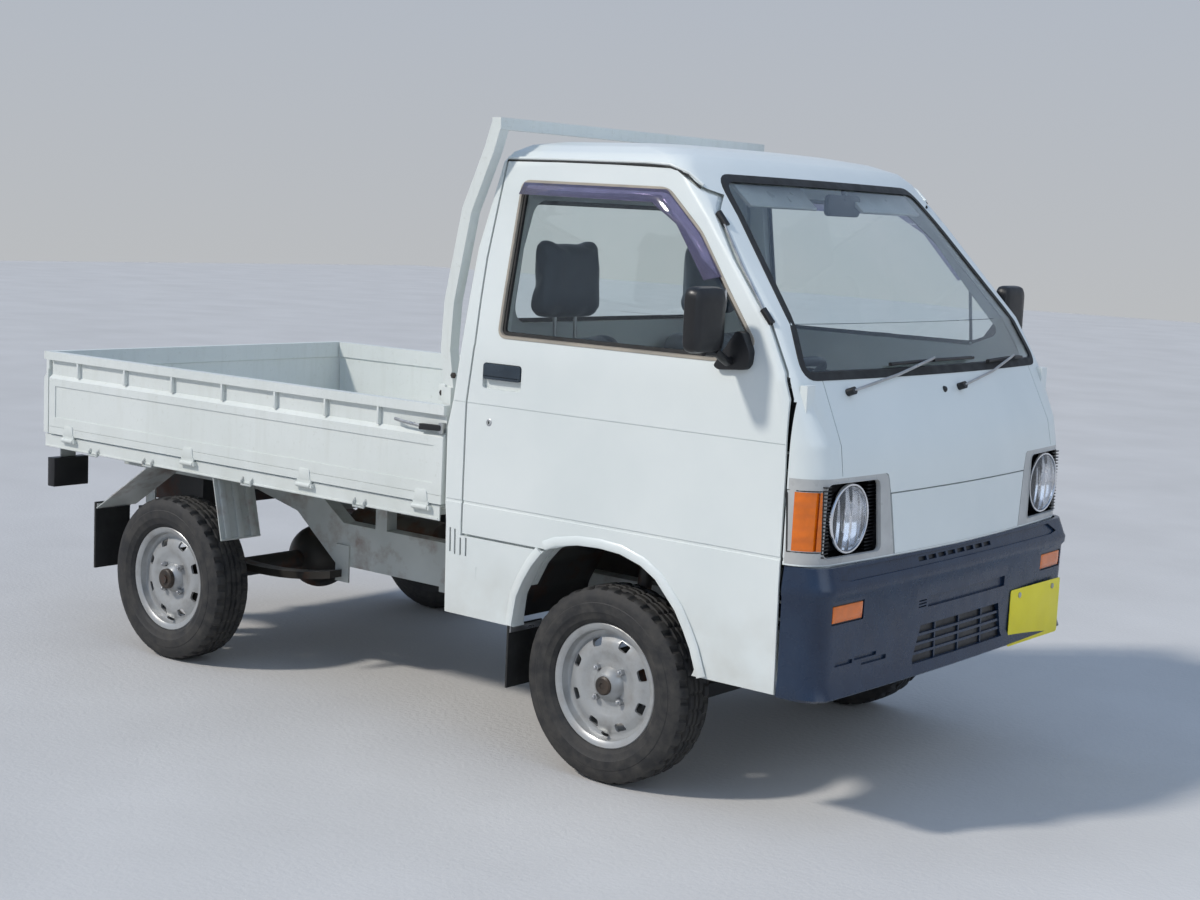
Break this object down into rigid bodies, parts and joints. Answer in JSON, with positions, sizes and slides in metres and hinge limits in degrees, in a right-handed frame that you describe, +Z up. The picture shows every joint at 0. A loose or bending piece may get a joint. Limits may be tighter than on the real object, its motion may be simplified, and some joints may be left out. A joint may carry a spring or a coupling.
{
  "type": "kei truck",
  "caption": "Small cab-over pickup truck with a hollow two-seat cab, hinged doors, a flat load bed with fold-down side and tail gates, and a guard frame behind the cab.",
  "frame": {"origin": "on the ground, under the middle of the overall length and width", "axes": "+X to the truck's front, +Y to its left side, +Z up"},
  "size_m": [3.195, 1.74, 1.757],
  "materials": {
    "body_paint": "semi-gloss off-white, slightly aged",
    "bed_paint": "chalky off-white, dirt streaks and scratches",
    "frame_paint": "dull off-white with dust",
    "bumper_plastic": "navy blue, semi-gloss",
    "bezel_plastic": "silver-grey",
    "amber_lens": "amber",
    "red_lens": "red",
    "lamp_glass": "clear fluted",
    "window_glass": "clear",
    "dash_plastic": "dark grey",
    "black_plastic": "black",
    "black_rubber": "black, dusty",
    "tyre": "black, dusty",
    "wheel_steel": "silver-grey steel wheel paint",
    "seat_vinyl": "dark blue-grey vinyl",
    "chassis_black": "black, dusty",
    "cast_parts": "dark, dirty",
    "exhaust_steel": "dull, lightly rusty"
  },
  "bodies": {
    "chassis": {"amber_lamps": "amber_lens", "bed_deck": "bed_paint", "bumper": "bumper_plastic", "cab_floor": "body_paint", "cab_front_panel": "body_paint", "cab_rear_wall": "body_paint", "cab_roof": "body_paint", "chassis_frame": "frame_paint", "dashboard": "dash_plastic", "driveline": "cast_parts", "engine_block": "cast_parts", "exhaust": "exhaust_steel", "front_garnish": "body_paint", "front_suspension": "chassis_black", "fuel_tank": "chassis_black", "guard_frame": "bed_paint", "headlamp_bezels": "bezel_plastic", "headlamps": "lamp_glass", "mud_flaps": "black_rubber", "rear_axle": "cast_parts", "rear_fenders": "frame_paint", "rear_lamps": "red_lens", "rear_window": "window_glass", "seat_left": "seat_vinyl", "seat_right": "seat_vinyl", "wheel_liners": "chassis_black", "windshield": "window_glass", "windshield_pillars": "body_paint"},
    "door_right": {"door_right": "body_paint", "door_glass_right": "window_glass", "mirror_right": "black_plastic"},
    "door_left": {"door_left": "body_paint", "door_glass_left": "window_glass", "mirror_left": "black_plastic"},
    "side_gate_right": {"side_gate_right": "bed_paint"},
    "side_gate_left": {"side_gate_left": "bed_paint"},
    "tailgate": {"tailgate": "bed_paint"},
    "knuckle_right": {"knuckle_right": "cast_parts"},
    "knuckle_left": {"knuckle_left": "cast_parts"},
    "wheel_front_right": {"tyre_front_right": "tyre", "rim_front_right": "wheel_steel"},
    "wheel_front_left": {"tyre_front_left": "tyre", "rim_front_left": "wheel_steel"},
    "wheel_rear_right": {"tyre_rear_right": "tyre", "rim_rear_right": "wheel_steel"},
    "wheel_rear_left": {"tyre_rear_left": "tyre", "rim_rear_left": "wheel_steel"},
    "steering_wheel": {"steering_wheel": "dash_plastic"}
  },
  "joints": [
    {"name": "door_right_hinge", "type": "hinge", "parent": "chassis", "child": "door_right", "pos_m": [1.422, -0.678, 0.745], "axis": [0, 0, 1], "range_deg": [0, 65]},
    {"name": "door_left_hinge", "type": "hinge", "parent": "chassis", "child": "door_left", "pos_m": [1.422, 0.678, 0.745], "axis": [0, 0, -1], "range_deg": [0, 65]},
    {"name": "side_gate_right_hinge", "type": "hinge", "parent": "chassis", "child": "side_gate_right", "pos_m": [-0.6, -0.69, 0.662], "axis": [1, 0, 0], "range_deg": [0, 180]},
    {"name": "side_gate_left_hinge", "type": "hinge", "parent": "chassis", "child": "side_gate_left", "pos_m": [-0.6, 0.69, 0.662], "axis": [-1, 0, 0], "range_deg": [0, 180]},
    {"name": "tailgate_hinge", "type": "hinge", "parent": "chassis", "child": "tailgate", "pos_m": [-1.59, 0, 0.662], "axis": [0, -1, 0], "range_deg": [0, 180]},
    {"name": "steer_right", "type": "hinge", "parent": "chassis", "child": "knuckle_right", "pos_m": [0.899, -0.555, 0.178], "axis": [0, 0.163, 0.9866], "range_deg": [-35, 35]},
    {"name": "steer_left", "type": "hinge", "parent": "chassis", "child": "knuckle_left", "pos_m": [0.899, 0.555, 0.178], "axis": [0, -0.163, 0.9866], "range_deg": [-35, 35]},
    {"name": "steering_wheel_turn", "type": "hinge", "parent": "chassis", "child": "steering_wheel", "pos_m": [1.12, -0.34, 1.06], "axis": [-0.5, 0, 0.866], "range_deg": [-600, 600]},
    {"name": "spin_front_right", "type": "hinge", "parent": "knuckle_right", "child": "wheel_front_right", "pos_m": [0.899, -0.601, 0.266], "axis": [0, 1, 0], "continuous": true},
    {"name": "spin_front_left", "type": "hinge", "parent": "knuckle_left", "child": "wheel_front_left", "pos_m": [0.899, 0.601, 0.266], "axis": [0, 1, 0], "continuous": true},
    {"name": "spin_rear_right", "type": "hinge", "parent": "chassis", "child": "wheel_rear_right", "pos_m": [-0.921, -0.611, 0.266], "axis": [0, 1, 0], "continuous": true},
    {"name": "spin_rear_left", "type": "hinge", "parent": "chassis", "child": "wheel_rear_left", "pos_m": [-0.921, 0.611, 0.266], "axis": [0, 1, 0], "continuous": true}
  ],
  "couplings": [
    {"joint": "steer_left", "follows": "steer_right", "ratio": 1},
    {"joint": "steering_wheel_turn", "follows": "steer_right", "ratio": 17}
  ]
}
